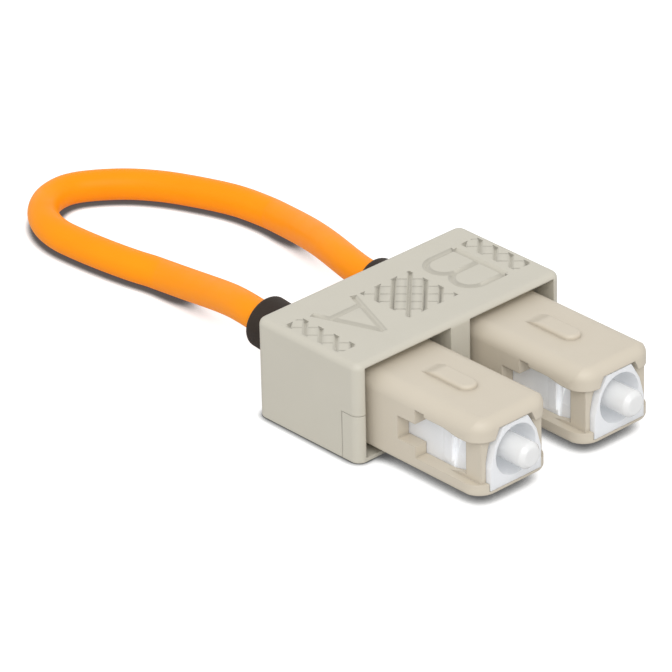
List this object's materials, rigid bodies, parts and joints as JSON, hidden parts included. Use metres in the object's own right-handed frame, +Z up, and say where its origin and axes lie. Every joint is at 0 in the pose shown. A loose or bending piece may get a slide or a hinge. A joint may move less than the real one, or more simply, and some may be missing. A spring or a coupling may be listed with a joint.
{
  "type": "duplex fibre loopback plug",
  "caption": "Duplex fibre loopback plug: twin push-pull plugs in a clip block, joined behind by a short loop of jacketed cable.",
  "frame": {"origin": "centre of the clip block's underside", "axes": "-Y is the mating direction along the ferrules, +X runs across the two plugs from A to B, +Z is up, towards the keys"},
  "size_m": [0.0263, 0.0726, 0.0099],
  "materials": {
    "block_grey": "matte moulded, light warm grey",
    "shell_beige": "satin moulded, beige",
    "frame_white": "satin moulded, white",
    "ceramic_white": "ground ceramic",
    "flange_metal": "turned metal",
    "spring_steel": "drawn wire",
    "post_metal": "turned metal",
    "crimp_metal": "drawn tube",
    "boot_black": "matte rubber",
    "cable_orange": "satin jacket, orange"
  },
  "bodies": {
    "housing": {"housing_base": "block_grey", "housing_cover": "block_grey", "outer_shell_a": "shell_beige", "outer_shell_b": "shell_beige", "fibre_loop": "cable_orange"},
    "plug_a": {"plug_frame_a": "frame_white", "ferrule_spring_a": "spring_steel", "back_post_a": "post_metal", "crimp_sleeve_a": "crimp_metal", "boot_a": "boot_black"},
    "ferrule_body_a": {"ferrule_a": "ceramic_white", "ferrule_flange_a": "flange_metal", "buffer_tube_a": "cable_orange"},
    "plug_b": {"plug_frame_b": "frame_white", "ferrule_spring_b": "spring_steel", "back_post_b": "post_metal", "crimp_sleeve_b": "crimp_metal", "boot_b": "boot_black"},
    "ferrule_body_b": {"ferrule_b": "ceramic_white", "ferrule_flange_b": "flange_metal", "buffer_tube_b": "cable_orange"}
  },
  "joints": [
    {"name": "plug_a_release", "type": "slide", "parent": "housing", "child": "plug_a", "axis": [0, -1, 0], "range_m": [0, 0.0012]},
    {"name": "ferrule_a_float", "type": "slide", "parent": "plug_a", "child": "ferrule_body_a", "axis": [0, 1, 0], "range_m": [0, 0.0015], "stiffness_N_per_m": 1500, "deforming": ["ferrule_spring_a"]},
    {"name": "plug_b_release", "type": "slide", "parent": "housing", "child": "plug_b", "axis": [0, -1, 0], "range_m": [0, 0.0012]},
    {"name": "ferrule_b_float", "type": "slide", "parent": "plug_b", "child": "ferrule_body_b", "axis": [0, 1, 0], "range_m": [0, 0.0015], "stiffness_N_per_m": 1500, "deforming": ["ferrule_spring_b"]}
  ]
}
